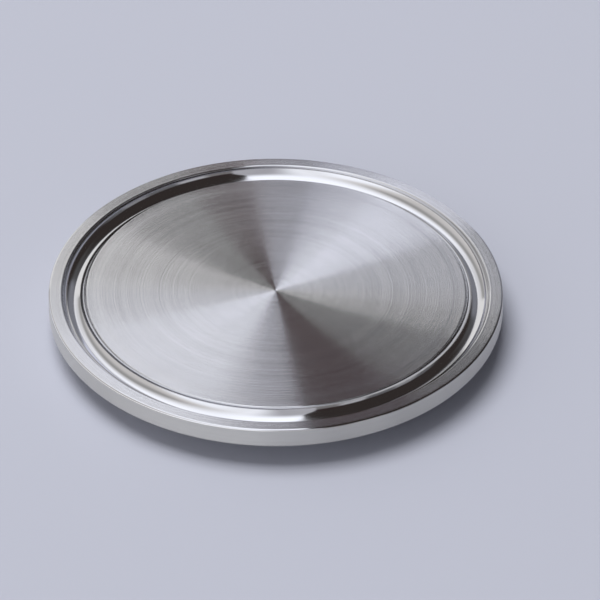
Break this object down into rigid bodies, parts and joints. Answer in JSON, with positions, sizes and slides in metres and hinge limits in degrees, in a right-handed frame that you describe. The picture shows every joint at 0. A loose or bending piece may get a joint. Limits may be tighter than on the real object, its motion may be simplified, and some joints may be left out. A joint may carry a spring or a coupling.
{
  "type": "sanitary clamp end cap",
  "caption": "Solid round end cap for a sanitary clamp joint: flat faced disc with a gasket groove and land, a conical clamp rim and a low flat boss on its back.",
  "frame": {"origin": "centre of the flat back face of the boss, which the cap lies on", "axes": "+Z along the turning axis, from the back towards the sealing face; X and Y are free, because the cap is turned about Z"},
  "size_m": [0.064, 0.064, 0.0063],
  "materials": {
    "turned_steel": "stainless steel: face and land fine turned, groove polished, rim and back turned"
  },
  "bodies": {
    "root": {"end_cap": "turned_steel"}
  },
  "joints": []
}
